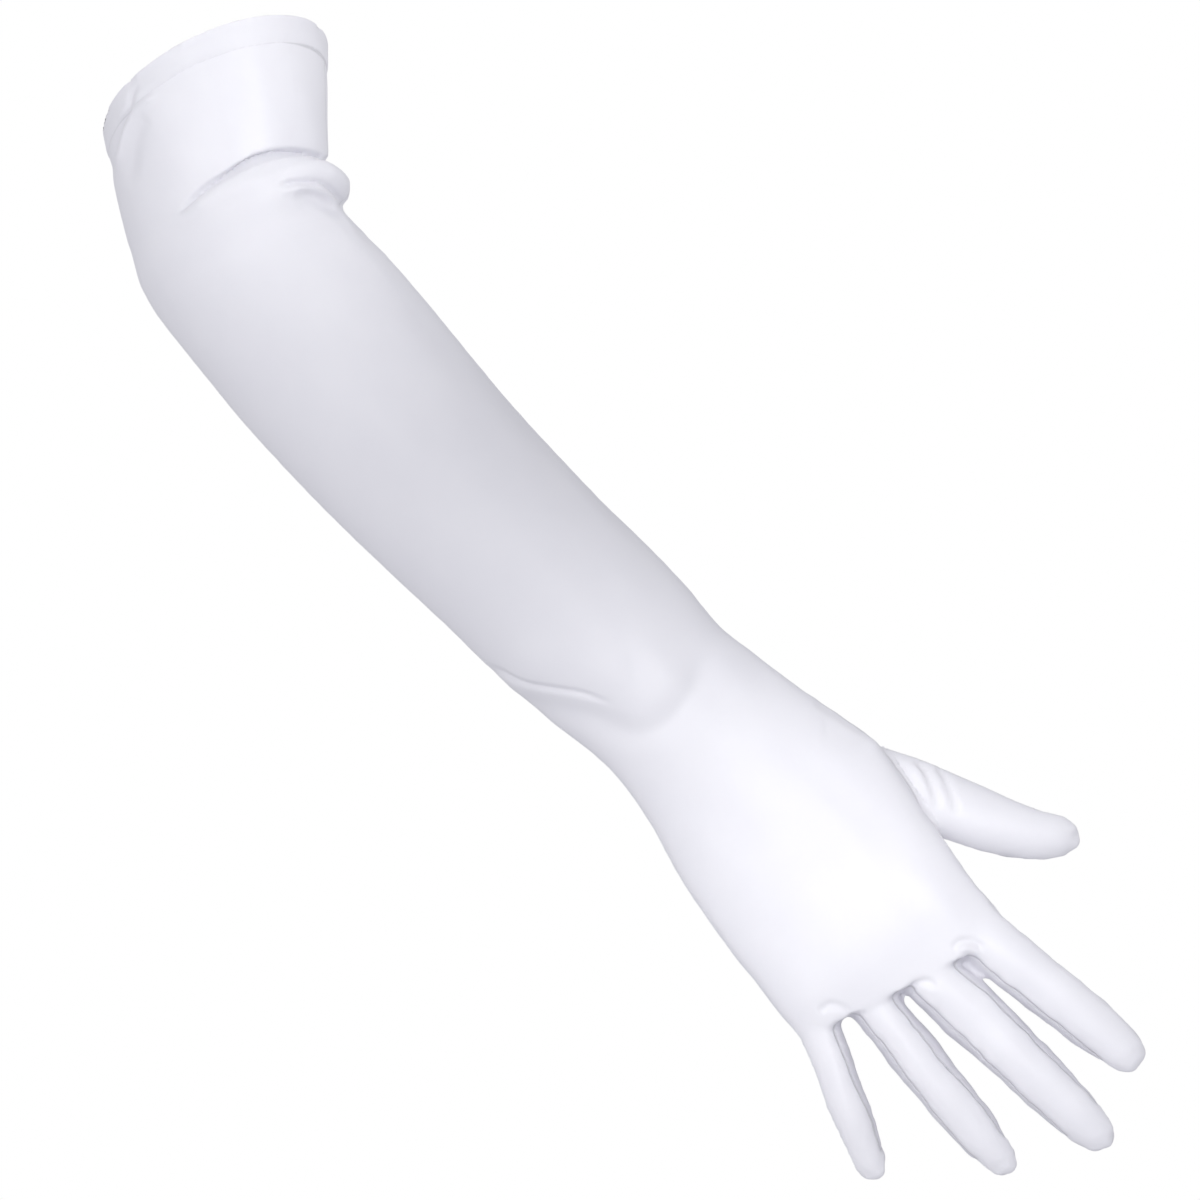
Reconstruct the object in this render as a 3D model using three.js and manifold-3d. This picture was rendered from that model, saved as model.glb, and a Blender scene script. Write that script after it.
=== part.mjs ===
// A long satin glove for the right hand, in the form that it has when worn: an open sleeve that bends
// at the elbow, a slim wrist, and a hand with its fingers a little apart. Millimetres, +Z up.
// The back of the hand faces -Y. The origin is the middle of the opening where the arm goes in.
// The glove is cut as a back panel and a palm panel, sewn together along both sides, with a strip
// between each two fingers, a thumb of two pieces, and a turned hem round the opening.
import * as THREE from "three";
import { mergeVertices } from "three/addons/utils/BufferGeometryUtils.js";
import Module from "manifold-3d";

const wasm = await Module();
wasm.setup();

// Lengths along the glove's line
const ELBOW_LENGTH = 94; // rim to the start of the straight forearm
const FOREARM_LENGTH = 154; // from there to the wrist
const PALM_LENGTH = 130; // wrist to the roots of the fingers
const HEM_LENGTH = 8; // the turned edge

// Widths are seen from the back of the hand, depths from its side
const SLEEVE_WIDTH = 73;
const SLEEVE_DEPTH = 66;
const WRIST_WIDTH = 61;
const WRIST_DEPTH = 42;
const PALM_WIDTH = 81;
const PALM_DEPTH = 30;

// Each finger: its length, width and depth, where its root lies, and how far it leans outwards
const FINGERS = {
  index: { length: 83, width: 18.6, depth: 16.5, root: 0.927, side: 0.213, lean: 6.8 },
  middle: { length: 98, width: 20, depth: 17.5, root: 0.902, side: -0.043, lean: 2.6 },
  ring: { length: 85.5, width: 16.8, depth: 16, root: 0.876, side: -0.275, lean: -4.5 },
  little: { length: 67.5, width: 14.2, depth: 13.5, root: 0.825, side: -0.45, lean: -23 },
};
const THUMB_LENGTH = 85.5;
const THUMB_WIDTH = 19;
const THUMB_DEPTH = 18;

const LINE_SLOPE = 46; // degrees that the glove's line runs below the horizontal
const WALL = 1.2; // satin with its seam allowance
const HEM_WALL = 2.2; // the edge is folded over once
const HEM_PROUD = 0.2; // it stands a little proud of the sleeve
const SEAM_GAP = 0.3; // clearance between pieces that are sewn together
const STRIP_WIDTH = 8.5; // the strips between the fingers
const STRIP_FORWARD = 0.8; // they sit a little to the back of the hand
const STRIP_REACH = 0.87; // share of a finger's length that a strip runs along
const STRIP_EASE = 0.06; // they are this much smaller all round, besides their seam gap
const BOW_DEPTH = 76; // how far the glove bows towards -Y between its rim and its knuckles

// Facets
const SLEEVE_SIDES = 26;
const FINGER_SIDES = 14;
const LONGEST_STEP = 12;
const SHORTEST_STEP = 1;
const THICKEST_SHARE = 0.6; // of half a finger's width that its wall takes at its tip
const PAST = 2; // a hollow is cut from a little outside its wall

// The glove's line and the two directions across it
const slope = THREE.MathUtils.degToRad(LINE_SLOPE);
const ALONG = new THREE.Vector3(Math.cos(slope), 0, -Math.sin(slope));
const SIDE = new THREE.Vector3(Math.sin(slope), 0, Math.cos(slope));
const FRONT = new THREE.Vector3(0, -1, 0);

// Cross-sections of sleeve and hand, from the rim to the finger roots.
// at: share of the part's length; side: how far the middle lies off the glove's line, and wide:
// both shares of the part's width; deep: share of its depth; turn: degrees that the section is
// turned in the front view; lift: how much higher its front lies, as a share of half its depth;
// fold: how far the crook of the elbow is drawn in; square: 2 is an ellipse, more is fuller.
const PARTS = {
  elbow: { start: -ELBOW_LENGTH, length: ELBOW_LENGTH, width: SLEEVE_WIDTH, depth: SLEEVE_DEPTH },
  forearm: { start: 0, length: FOREARM_LENGTH, width: SLEEVE_WIDTH, depth: SLEEVE_DEPTH },
  wrist: { start: FOREARM_LENGTH, length: PALM_LENGTH, width: WRIST_WIDTH, depth: WRIST_DEPTH },
  palm: { start: FOREARM_LENGTH, length: PALM_LENGTH, width: PALM_WIDTH, depth: PALM_DEPTH },
};
const SECTIONS = [
  { part: "elbow", at: 0, side: 0.433, wide: 1.116, deep: 1.2, turn: 18, lift: 0.45, fold: 0, square: 2 },
  { part: "elbow", at: 0.168, side: 0.26, wide: 1.06, deep: 1.15, turn: 20, lift: 0.38, fold: 0, square: 2 },
  { part: "elbow", at: 0.31, side: 0.13, wide: 1.02, deep: 1.1, turn: 20, lift: 0.29, fold: 0.01, square: 2 },
  { part: "elbow", at: 0.355, side: 0.098, wide: 1.012, deep: 1.08, turn: 20, lift: 0.27, fold: 0.09, square: 2 },
  { part: "elbow", at: 0.4, side: 0.09, wide: 1.05, deep: 1.1, turn: 19.5, lift: 0.26, fold: -0.01, square: 2 },
  { part: "elbow", at: 0.46, side: 0.055, wide: 1.062, deep: 1.1, turn: 18.5, lift: 0.24, fold: 0, square: 2 },
  { part: "elbow", at: 0.525, side: 0.003, wide: 1.01, deep: 1.07, turn: 17, lift: 0.2, fold: 0.045, square: 2 },
  { part: "elbow", at: 0.58, side: -0.008, wide: 1.01, deep: 1.06, turn: 16, lift: 0.17, fold: 0.005, square: 2 },
  { part: "elbow", at: 0.79, side: -0.03, wide: 1.005, deep: 1.03, turn: 9.5, lift: 0.07, fold: 0, square: 2 },
  { part: "forearm", at: 0, side: -0.049, wide: 1.003, deep: 1, turn: 3, lift: 0, fold: 0, square: 2 },
  { part: "forearm", at: 0.2, side: -0.068, wide: 0.974, deep: 0.98, turn: 0, lift: 0, fold: 0, square: 2 },
  { part: "forearm", at: 0.41, side: -0.073, wide: 0.936, deep: 0.93, turn: 0, lift: 0, fold: 0, square: 2 },
  { part: "forearm", at: 0.6, side: -0.067, wide: 0.915, deep: 0.87, turn: 0, lift: 0, fold: 0, square: 2 },
  { part: "forearm", at: 0.74, side: -0.057, wide: 0.912, deep: 0.81, turn: 0, lift: 0, fold: 0, square: 2 },
  { part: "forearm", at: 0.89, side: -0.045, wide: 0.879, deep: 0.73, turn: 0, lift: 0, fold: 0, square: 2 },
  { part: "wrist", at: 0, side: -0.044, wide: 0.995, deep: 1, turn: 0, lift: 0, fold: 0, square: 2 },
  { part: "wrist", at: 0.103, side: -0.025, wide: 1.015, deep: 0.94, turn: 0, lift: 0, fold: 0, square: 2.05 },
  { part: "palm", at: 0.245, side: -0.016, wide: 0.834, deep: 1.18, turn: 0, lift: 0, fold: 0, square: 2.1 },
  { part: "palm", at: 0.4, side: -0.025, wide: 0.955, deep: 1.08, turn: 0, lift: 0, fold: 0, square: 2.2 },
  { part: "palm", at: 0.49, side: -0.027, wide: 1.005, deep: 1.03, turn: 0, lift: 0, fold: 0, square: 2.3 },
  { part: "palm", at: 0.63, side: -0.06, wide: 1, deep: 1, turn: 0, lift: 0, fold: 0, square: 2.4 },
  { part: "palm", at: 0.75, side: -0.085, wide: 0.978, deep: 0.93, turn: 4, lift: 0, fold: 0, square: 2.6 },
  { part: "palm", at: 0.88, side: -0.116, wide: 0.967, deep: 0.8, turn: 10, lift: 0, fold: 0, square: 2.8 },
  { part: "palm", at: 1, side: -0.128, wide: 0.975, deep: 0.58, turn: 16, lift: 0, fold: 0, square: 2.8 },
];

// Widths and depths along a finger, as shares of the finger's own, from its root to its tip.
const FINGER_FORM = [
  { at: 0, wide: 0.86, deep: 0.72 },
  { at: 0.16, wide: 1, deep: 0.95 },
  { at: 0.45, wide: 1, deep: 1 },
  { at: 0.7, wide: 0.94, deep: 0.94 },
  { at: 0.86, wide: 0.82, deep: 0.82 },
  { at: 0.94, wide: 0.68, deep: 0.68 },
  { at: 0.985, wide: 0.46, deep: 0.46 },
  { at: 1, wide: 0.2, deep: 0.2 },
];

// The thumb's line, from inside the ball of the thumb to its tip. lean: degrees towards the side;
// away: distance behind the middle of the palm, as a share of the palm's depth.
const THUMB_ROOT = { at: 0.46, side: 0.315 };
const THUMB_FORM = [
  { at: 0, lean: 20, away: 0.12, wide: 0.8, deep: 0.62 },
  { at: 0.14, lean: 22, away: 0.2, wide: 1.08, deep: 0.92 },
  { at: 0.32, lean: 24, away: 0.32, wide: 1.16, deep: 1 },
  { at: 0.5, lean: 24, away: 0.42, wide: 1.14, deep: 1 },
  { at: 0.68, lean: 26, away: 0.5, wide: 1.03, deep: 0.96 },
  { at: 0.82, lean: 38, away: 0.56, wide: 0.9, deep: 0.86 },
  { at: 0.93, lean: 46, away: 0.6, wide: 0.7, deep: 0.68 },
  { at: 0.98, lean: 46, away: 0.62, wide: 0.48, deep: 0.46 },
  { at: 1, lean: 46, away: 0.62, wide: 0.22, deep: 0.22 },
];

// The strips between the fingers. reach: how far the strip's room goes from the finger's middle line,
// as a share of the finger's width; width: share of STRIP_WIDTH.
const STRIP_FORM = [
  { at: 0, reach: 0.75, width: 1 },
  { at: 0.3, reach: 0.75, width: 1 },
  { at: 0.55, reach: 0.6, width: 0.95 },
  { at: 0.8, reach: 0.55, width: 0.7 },
  { at: 1, reach: 0.55, width: 0.3 },
];

// The bow of the whole glove in the side view: out is a share of BOW_DEPTH.
const BOW = [
  { part: "elbow", at: 0, out: 0 },
  { part: "elbow", at: 0.35, out: 0.145 },
  { part: "elbow", at: 0.68, out: 0.23 },
  { part: "forearm", at: 0, out: 0.285 },
  { part: "forearm", at: 0.5, out: 0.425 },
  { part: "forearm", at: 0.95, out: 0.56 },
  { part: "palm", at: 0.3, out: 0.705 },
  { part: "palm", at: 0.7, out: 0.89 },
  { part: "palm", at: 1, out: 0.985 },
  { part: "palm", at: 1.3, out: 1 },
  { part: "palm", at: 1.9, out: 0.97 },
];

// Distance along the glove's line of a row that names its part.
function placeOf(row) {
  const part = PARTS[row.part];
  return part.start + row.at * part.length;
}

// A row between two rows of a table, on a smooth curve through all of them.
function rowBetween(rows, at) {
  const last = rows.length - 1;
  let low = 0;
  while (low < last - 1 && rows[low + 1].at <= at) low += 1;
  const high = low + 1;
  const step = rows[high].at - rows[low].at;
  const t = (at - rows[low].at) / step;
  const slopeAt = (key, i) => {
    const before = Math.max(i - 1, 0);
    const after = Math.min(i + 1, last);
    return (rows[after][key] - rows[before][key]) / (rows[after].at - rows[before].at);
  };
  const made = {};
  for (const key of Object.keys(rows[low])) {
    const from = rows[low][key];
    const to = rows[high][key];
    if (t < 0) made[key] = from + slopeAt(key, low) * (at - rows[low].at);
    else if (t > 1) made[key] = to + slopeAt(key, high) * (at - rows[high].at);
    else {
      const curve = (2 * t - 3) * t * t;
      const leave = slopeAt(key, low) * step * t * (1 - t) * (1 - t);
      const arrive = slopeAt(key, high) * step * t * t * (t - 1);
      made[key] = from * (1 + curve) - to * curve + leave + arrive;
    }
  }
  return made;
}

// The sections in millimetres, with at measured along the glove's line.
const sleeveRows = SECTIONS.map((row) => {
  const { width, depth } = PARTS[row.part];
  return {
    at: placeOf(row),
    side: row.side * width,
    halfWide: (row.wide * width) / 2,
    halfDeep: (row.deep * depth) / 2,
    turn: THREE.MathUtils.degToRad(row.turn),
    lift: row.lift,
    fold: row.fold,
    square: row.square,
  };
});
const bowRows = BOW.map((row) => ({ at: placeOf(row), out: row.out * BOW_DEPTH }));

const rimRow = sleeveRows[0];
const rimMiddle = ALONG.clone().multiplyScalar(rimRow.at).addScaledVector(SIDE, rimRow.side);

// How much of a fold there is at an angle round the sleeve: most at the front of its inner side.
const CROOK_ANGLE = THREE.MathUtils.degToRad(42);
const CROOK_FALLOFF = 1.5;
const crookShare = (angle) => ((1 + Math.cos(angle - CROOK_ANGLE)) / 2) ** CROOK_FALLOFF;

// Points round one section. grow moves the wall outwards, and inwards where it is less than 0.
function ring({ middle, across, front, halfWide, halfDeep, square = 2, fold = 0 }, sides, grow) {
  const points = [];
  const power = 2 / square;
  for (let i = 0; i < sides; i += 1) {
    const angle = (2 * Math.PI * i) / sides;
    const drawn = 1 - fold * crookShare(angle);
    const x = Math.sign(Math.cos(angle)) * Math.abs(Math.cos(angle)) ** power;
    const y = Math.sign(Math.sin(angle)) * Math.abs(Math.sin(angle)) ** power;
    const point = middle.clone();
    point.addScaledVector(across, x * (halfWide * drawn + grow));
    point.addScaledVector(front, y * (halfDeep * drawn + grow));
    points.push(point);
  }
  return points;
}

// A closed solid through rings that all have as many points, with a flat cap at each end.
function loft(rings) {
  const sides = rings[0].length;
  const points = rings.flat();
  const triangles = [];
  for (let k = 0; k + 1 < rings.length; k += 1)
    for (let i = 0; i < sides; i += 1) {
      const next = (i + 1) % sides;
      const [a, b] = [k * sides + i, k * sides + next];
      const [c, d] = [(k + 1) * sides + next, (k + 1) * sides + i];
      triangles.push(a, b, c, a, c, d);
    }
  for (const [first, flip] of [[0, true], [(rings.length - 1) * sides, false]]) {
    const middle = new THREE.Vector3();
    for (let i = 0; i < sides; i += 1) middle.addScaledVector(points[first + i], 1 / sides);
    points.push(middle);
    for (let i = 0; i < sides; i += 1) {
      const [a, b] = [first + i, first + ((i + 1) % sides)];
      triangles.push(...(flip ? [b, a] : [a, b]), points.length - 1);
    }
  }
  return new wasm.Manifold(
    new wasm.Mesh({
      numProp: 3,
      vertProperties: new Float32Array(points.flatMap((p) => p.toArray())),
      triVerts: new Uint32Array(triangles),
    }),
  );
}

// Places between from and to that keep every given place and add no step longer than LONGEST_STEP.
function placesBetween(rows, from, to) {
  const inside = rows.map((row) => row.at);
  const kept = [
    from,
    ...inside.filter((at) => at > from + SHORTEST_STEP && at < to - SHORTEST_STEP),
    to,
  ];
  return kept.flatMap((at, i) => {
    if (i === 0) return [at];
    const before = kept[i - 1];
    const steps = Math.ceil((at - before) / LONGEST_STEP);
    return Array.from({ length: steps }, (_, k) => before + ((k + 1) / steps) * (at - before));
  });
}

// One section of sleeve or hand as a ring's frame.
function sleeveFrame(at) {
  const row = rowBetween(sleeveRows, at);
  const across = SIDE.clone().multiplyScalar(Math.cos(row.turn)).addScaledVector(ALONG, Math.sin(row.turn));
  const normal = ALONG.clone().multiplyScalar(Math.cos(row.turn)).addScaledVector(SIDE, -Math.sin(row.turn));
  return {
    ...row,
    middle: ALONG.clone().multiplyScalar(row.at).addScaledVector(SIDE, row.side).sub(rimMiddle),
    across,
    front: FRONT.clone().addScaledVector(normal, -row.lift),
  };
}

function sleeve(from, to, grow) {
  const frames = placesBetween(sleeveRows, from, to).map(sleeveFrame);
  return loft(frames.map((frame) => ring(frame, SLEEVE_SIDES, grow)));
}

// A finger's line: its root, its direction and the direction across it.
function fingerLine(finger) {
  const lean = THREE.MathUtils.degToRad(finger.lean);
  const root = ALONG.clone()
    .multiplyScalar(FOREARM_LENGTH + finger.root * PALM_LENGTH)
    .addScaledVector(SIDE, finger.side * PALM_WIDTH)
    .sub(rimMiddle);
  const along = ALONG.clone().multiplyScalar(Math.cos(lean)).addScaledVector(SIDE, Math.sin(lean));
  const across = SIDE.clone().multiplyScalar(Math.cos(lean)).addScaledVector(ALONG, -Math.sin(lean));
  return { root, along, across };
}

function fingerFrames(name, length) {
  const size = FINGERS[name];
  const { root, along, across } = fingerLine(size);
  return FINGER_FORM.map((row) => ({
    middle: root.clone().addScaledVector(along, row.at * length),
    across,
    front: FRONT,
    halfWide: (row.wide * size.width) / 2,
    halfDeep: (row.deep * size.depth) / 2,
  }));
}

// A finger or thumb, whose wall takes no more than a share of its narrow tip.
function closedTip(frames, grow) {
  return loft(
    frames.map((frame) => ring(frame, FINGER_SIDES, Math.max(grow, -THICKEST_SHARE * frame.halfWide))),
  );
}

const finger = (name, grow) => closedTip(fingerFrames(name, FINGERS[name].length + grow), grow);

// The thumb's frames are stepped along its line, which leans more and more towards the side.
function thumbFrames(length) {
  const middle = ALONG.clone()
    .multiplyScalar(FOREARM_LENGTH + THUMB_ROOT.at * PALM_LENGTH)
    .addScaledVector(SIDE, THUMB_ROOT.side * PALM_WIDTH)
    .sub(rimMiddle);
  return THUMB_FORM.map((row, i) => {
    const before = THUMB_FORM[Math.max(i - 1, 0)];
    const lean = THREE.MathUtils.degToRad((row.lean + before.lean) / 2);
    const along = ALONG.clone().multiplyScalar(Math.cos(lean)).addScaledVector(SIDE, Math.sin(lean));
    const across = SIDE.clone().multiplyScalar(Math.cos(lean)).addScaledVector(ALONG, -Math.sin(lean));
    middle.addScaledVector(along, (row.at - before.at) * length);
    return {
      middle: middle.clone().addScaledVector(FRONT, -row.away * PALM_DEPTH),
      along,
      across,
      front: FRONT,
      halfWide: (row.wide * THUMB_WIDTH) / 2,
      halfDeep: (row.deep * THUMB_DEPTH) / 2,
    };
  });
}

const thumb = (grow) => closedTip(thumbFrames(THUMB_LENGTH + grow), grow);

// The room in front of the thumb's side seams, from a distance in front of its middle.
function thumbRoom(near) {
  const frames = thumbFrames(THUMB_LENGTH);
  const past = THUMB_WIDTH;
  frames[0].middle.addScaledVector(frames[0].along, -past);
  frames.at(-1).middle.addScaledVector(frames.at(-1).along, past);
  const corners = [
    [past, near],
    [past, 2 * THUMB_DEPTH],
    [-past, 2 * THUMB_DEPTH],
    [-past, near],
  ];
  return loft(
    frames.map(({ middle, across }) =>
      corners.map(([x, y]) => middle.clone().addScaledVector(across, x).addScaledVector(FRONT, y)),
    ),
  );
}

// The room that a strip takes along one side of a finger: from inside the palm, past the crotch,
// to a narrow end near the fingertip. way is 1 for the side towards the index finger, -1 for the other.
function stripRoom(name, way, grow) {
  const size = FINGERS[name];
  const { root, along, across } = fingerLine(size);
  const rings = STRIP_FORM.map((row) => {
    const shift = row.at * STRIP_REACH * size.length + (row.at > 0 ? grow : 0);
    const middle = root.clone().addScaledVector(along, shift);
    const outer = row.reach * size.width + grow;
    const half = (row.width * STRIP_WIDTH) / 2 + grow;
    const [left, right] = way > 0 ? [0, outer] : [-outer, 0];
    const corners = [
      [right, STRIP_FORWARD - half],
      [right, STRIP_FORWARD + half],
      [left, STRIP_FORWARD + half],
      [left, STRIP_FORWARD - half],
    ];
    return corners.map(([x, y]) => middle.clone().addScaledVector(across, x).addScaledVector(FRONT, y));
  });
  return loft(rings);
}

// The same closed form, grown for clearances and shrunk for the hollow.
const rimPlace = rimRow.at;
const nextRow = sleeveRows[1];
const stepPerMm = (nextRow.at - rimPlace) / Math.hypot(nextRow.at - rimPlace, nextRow.side - rimRow.side);
const hemPlace = rimPlace + HEM_LENGTH * stepPerMm;
const panelPlace = hemPlace + SEAM_GAP * stepPerMm;
const rootPlace = sleeveRows.at(-1).at;

function handAndSleeve(grow, from) {
  let form = sleeve(from, rootPlace + grow, grow);
  for (const name of Object.keys(FINGERS)) form = form.add(finger(name, grow));
  return form;
}

const hollow = handAndSleeve(-WALL, panelPlace - PAST);
const thumbHollow = thumb(-WALL);
const wall = handAndSleeve(0, panelPlace).subtract(hollow);

const pairs = [
  ["index", "middle"],
  ["middle", "ring"],
  ["ring", "little"],
];
const stripBetween = ([upper, lower], grow) => stripRoom(upper, -1, grow).add(stripRoom(lower, 1, grow));

// Front and back halves of the wall, parted at the side seams.
function half(sign) {
  const reach = 2 * (ELBOW_LENGTH + FOREARM_LENGTH + PALM_LENGTH + FINGERS.middle.length);
  const box = new THREE.BoxGeometry(2 * reach, reach, 2 * reach);
  box.translate(0, sign * (reach / 2 + SEAM_GAP / 2), 0);
  return solidOf(box);
}

function solidOf(geometry) {
  geometry.deleteAttribute("normal");
  geometry.deleteAttribute("uv");
  const merged = mergeVertices(geometry);
  return new wasm.Manifold(
    new wasm.Mesh({
      numProp: 3,
      vertProperties: merged.attributes.position.array,
      triVerts: new Uint32Array(merged.index.array),
    }),
  );
}

let panels = wall.subtract(thumbHollow);
for (const pair of pairs) panels = panels.subtract(stripBetween(pair, SEAM_GAP));

const thumbPiece = thumb(0)
  .subtract(handAndSleeve(SEAM_GAP, panelPlace))
  .subtract(thumbHollow);

const hem = sleeve(rimPlace, hemPlace, HEM_PROUD).subtract(
  sleeve(rimPlace - PAST, hemPlace + PAST, -HEM_WALL),
);

// The bow moves each point by its place along the glove's line, so the front view stays as it is.
function bowed(solid) {
  return solid.warp((point) => {
    const place = point[0] * ALONG.x + point[2] * ALONG.z + rimPlace;
    point[1] -= rowBetween(bowRows, place).out;
  });
}

const satin = (color) => new THREE.MeshStandardMaterial({ color, roughness: 0.42, metalness: 0 });
const group = new THREE.Group();

function addPiece(name, solid, color) {
  const { vertProperties, triVerts } = bowed(solid).getMesh();
  const geometry = new THREE.BufferGeometry();
  geometry.setAttribute("position", new THREE.BufferAttribute(vertProperties, 3));
  geometry.setIndex(new THREE.BufferAttribute(triVerts, 1));
  geometry.computeVertexNormals();
  const mesh = new THREE.Mesh(geometry, satin(color));
  mesh.name = name;
  group.add(mesh);
}

addPiece("cuff_hem", hem, 0xefedf6);
addPiece("back_panel", panels.intersect(half(-1)), 0xe9e7f2);
addPiece("palm_panel", panels.intersect(half(1)), 0xe6e4f0);
addPiece("thumb_back", thumbPiece.intersect(thumbRoom(SEAM_GAP / 2)), 0xe4e2ef);
addPiece("thumb_palm", thumbPiece.subtract(thumbRoom(-SEAM_GAP / 2)), 0xe2e0ee);
for (const pair of pairs) {
  const strip = wall.intersect(stripBetween(pair, -STRIP_EASE));
  addPiece(`fourchette_${pair.join("_")}`, strip, 0xd6d3e4);
}

export default group;
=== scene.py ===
# A long satin glove for the right hand, in the form that it has when worn: an open sleeve, bent at the
# elbow, a slim wrist and a hand with its fingers a little apart. Metres, +Z up, back of the hand at -Y.
import bpy
import numpy as np
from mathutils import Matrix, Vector, kdtree


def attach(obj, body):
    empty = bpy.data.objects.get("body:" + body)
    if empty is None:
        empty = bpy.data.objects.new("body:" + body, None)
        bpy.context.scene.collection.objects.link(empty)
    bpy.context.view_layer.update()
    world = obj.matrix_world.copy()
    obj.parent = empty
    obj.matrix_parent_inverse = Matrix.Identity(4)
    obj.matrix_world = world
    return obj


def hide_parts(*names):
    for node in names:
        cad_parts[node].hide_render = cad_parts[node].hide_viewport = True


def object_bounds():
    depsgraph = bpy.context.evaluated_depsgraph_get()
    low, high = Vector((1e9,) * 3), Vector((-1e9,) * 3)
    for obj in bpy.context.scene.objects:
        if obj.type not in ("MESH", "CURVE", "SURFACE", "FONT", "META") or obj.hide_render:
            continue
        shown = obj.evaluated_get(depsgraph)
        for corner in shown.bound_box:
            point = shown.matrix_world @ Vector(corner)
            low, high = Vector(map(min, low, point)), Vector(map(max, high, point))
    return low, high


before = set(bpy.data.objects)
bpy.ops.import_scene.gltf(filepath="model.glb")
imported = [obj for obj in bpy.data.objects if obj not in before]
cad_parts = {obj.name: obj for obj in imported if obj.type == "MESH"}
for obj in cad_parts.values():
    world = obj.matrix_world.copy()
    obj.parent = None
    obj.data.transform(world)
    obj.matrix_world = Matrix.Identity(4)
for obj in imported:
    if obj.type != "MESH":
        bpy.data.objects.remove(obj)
cad_low, cad_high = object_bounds()

# Camera, floor and light
# The camera looks straight at the back of the hand from far off, so that the outline is the glove's
# own. A pale floor lies below the fingertips. A big soft light stands at the left and three small ones
# brighten the hand, the fingers and the cuff.
MM = 0.001
VIEW_MIDDLE = (129.5 * MM, -172.5 * MM)
VIEW_WIDTH = 402 * MM
VIEW_DEPTH = -45 * MM
CAMERA_AWAY = 8.0
FLOOR_DROP = 60 * MM
FLOOR_SIZE = 2.2
SURROUND = (0.9, 0.9, 0.94, 1)
SURROUND_STRENGTH = 0.68
SOFT_LIGHTS = [
    # name, where it stands and what it faces, from the middle of the view, size, watts, spread in degrees
    ("key_light", (-1.0, -1.6, 0.7), (0, 0, 0), 1.0, 8, 180),
    ("hand_light", (0.04, -0.6, 0.05), (0.1, 0, -0.095), 0.2, 0.039, 20),
    ("finger_light", (0.3, -0.6, -0.16), (0.22, 0, -0.22), 0.2, 0.018, 22),
    ("cuff_light", (0.2, -0.6, 0.34), (-0.09, 0, 0.175), 0.12, 0.02, 16),
]

middle = Vector((VIEW_MIDDLE[0], VIEW_DEPTH, VIEW_MIDDLE[1]))
scene = bpy.context.scene
bpy.ops.object.camera_add(location=middle - Vector((0, CAMERA_AWAY, 0)), rotation=(np.pi / 2, 0, 0))
camera = bpy.context.object
camera.data.lens = camera.data.sensor_width * CAMERA_AWAY / VIEW_WIDTH
scene.camera = camera
scene.view_settings.view_transform = "Standard"

for name, offset, faced, size, watts, spread in SOFT_LIGHTS:
    bpy.ops.object.light_add(type="AREA", location=middle + Vector(offset))
    light = bpy.context.object
    light.name = name
    light.data.size = size
    light.data.energy = watts
    light.data.spread = np.radians(spread)
    light.rotation_euler = (Vector(faced) - Vector(offset)).to_track_quat("-Z", "Y").to_euler()

bpy.ops.mesh.primitive_plane_add(size=FLOOR_SIZE, location=(middle.x, middle.y, cad_low.z - FLOOR_DROP))
floor = bpy.context.object
floor.name = "floor"


class Socket:
    """A node's output. A difference with it adds a Math node to the same material."""

    def __init__(self, output):
        self.output = output

    def maths(self, operation, first, second):
        node = self.output.id_data.nodes.new("ShaderNodeMath")
        node.operation = operation
        fill(node, {0: first, 1: second})
        return Socket(node.outputs[0])

    def __sub__(self, other):
        return self.maths("SUBTRACT", self, other)

    def __rsub__(self, other):
        return self.maths("SUBTRACT", other, self)


def fill(node, sockets):
    """Sets a node's inputs, each to a value or to a link from another node's output."""
    for key, value in sockets.items():
        if isinstance(value, Socket):
            node.id_data.links.new(value.output, node.inputs[key])
        else:
            node.inputs[key].default_value = value


class Finish:
    """A node tree with one method that adds a node and gives back its first, or its named, output."""

    def __init__(self, tree):
        self.tree = tree
        self.tree.nodes.clear()

    def node(self, kind, settings, sockets, output=0):
        node = self.tree.nodes.new(kind)
        for key, value in settings.items():
            if key == "stops":
                for stop, (place, color) in zip(node.color_ramp.elements, value):
                    stop.position = place
                    stop.color = color
            else:
                setattr(node, key, value)
        fill(node, sockets)
        return Socket(node.outputs[output]) if node.outputs else None


# The glove sees a cool grey room all round, and the camera sees plain white behind it.
world = bpy.data.worlds.new("studio")
world.use_nodes = True
scene.world = world
studio = Finish(world.node_tree)
seen = studio.node("ShaderNodeBackground", {}, {"Color": (1, 1, 1, 1), "Strength": 1.0})
round_about = studio.node("ShaderNodeBackground", {}, {"Color": SURROUND, "Strength": SURROUND_STRENGTH})
looked_at = studio.node("ShaderNodeLightPath", {}, {}, "Is Camera Ray")
both = studio.node("ShaderNodeMixShader", {}, {0: looked_at, 1: round_about, 2: seen})
studio.node("ShaderNodeOutputWorld", {}, {"Surface": both})

paper_material = bpy.data.materials.new("pale floor")
paper_material.use_nodes = True
paper = Finish(paper_material.node_tree)
grain = paper.node("ShaderNodeTexNoise", {}, {"Scale": 6.0, "Detail": 4.0})
paper_color = paper.node(
    "ShaderNodeValToRGB",
    {"stops": [(0.3, (0.86, 0.86, 0.88, 1)), (0.7, (0.9, 0.9, 0.915, 1))]},
    {"Fac": grain},
)
surface = paper.node("ShaderNodeBsdfPrincipled", {}, {"Base Color": paper_color, "Roughness": 0.9})
paper.node("ShaderNodeOutputMaterial", {}, {"Surface": surface})
floor.data.materials.append(paper_material)

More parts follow.
